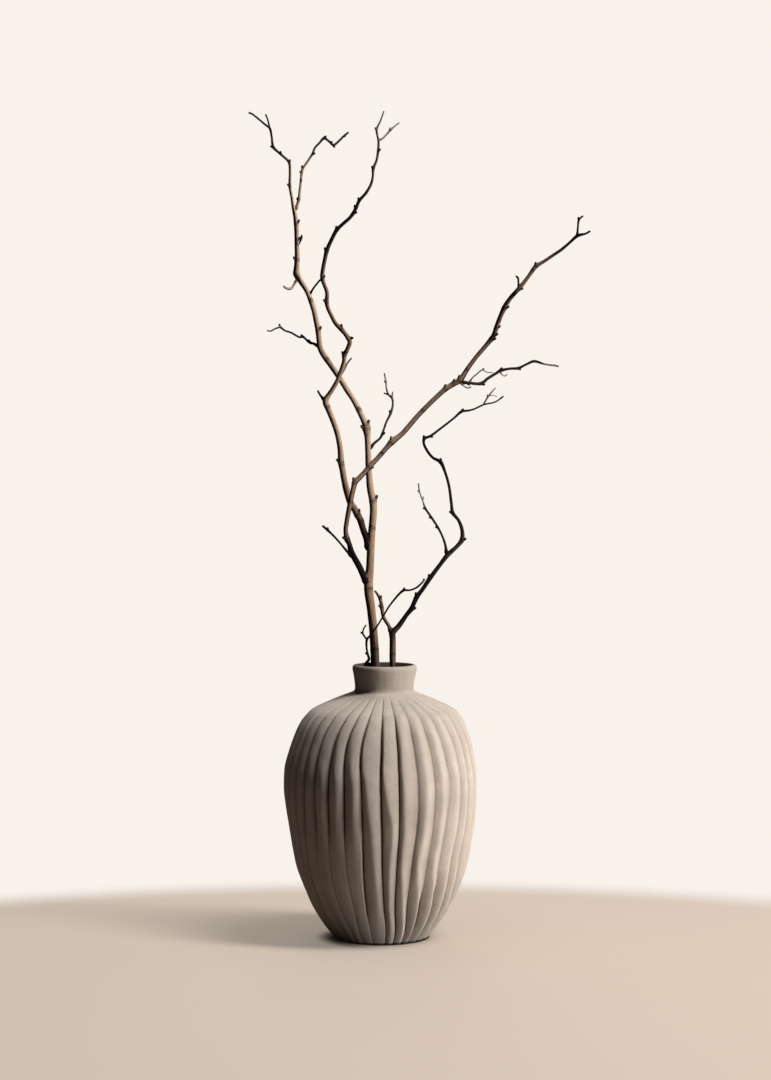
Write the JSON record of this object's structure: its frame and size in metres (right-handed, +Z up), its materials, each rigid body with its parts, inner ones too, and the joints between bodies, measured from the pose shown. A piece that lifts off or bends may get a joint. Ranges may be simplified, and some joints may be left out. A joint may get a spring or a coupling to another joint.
{
  "type": "ikebana arrangement",
  "caption": "Bare twiggy branches standing in a tall ribbed matte stoneware vase with a narrow neck, as a quiet table or shelf decoration.",
  "frame": {"origin": "centre of the vase's foot, on the surface it stands on", "axes": "+Z up, the branches spread along X and the pictured side faces -Y"},
  "size_m": [0.3343, 0.1946, 0.8226],
  "materials": {
    "stoneware": "matte unglazed stoneware, warm greige, hand-ribbed",
    "tall_branch_bark": "smooth brown bark with buds and rings at the nodes",
    "side_branch_bark": "smooth brown bark with buds and rings at the nodes",
    "thin_twig_bark": "thin dark twig bark"
  },
  "bodies": {
    "root": {"vase": "stoneware", "tall_branch": "tall_branch_bark", "side_branch": "side_branch_bark", "thin_twig": "thin_twig_bark"}
  },
  "joints": []
}
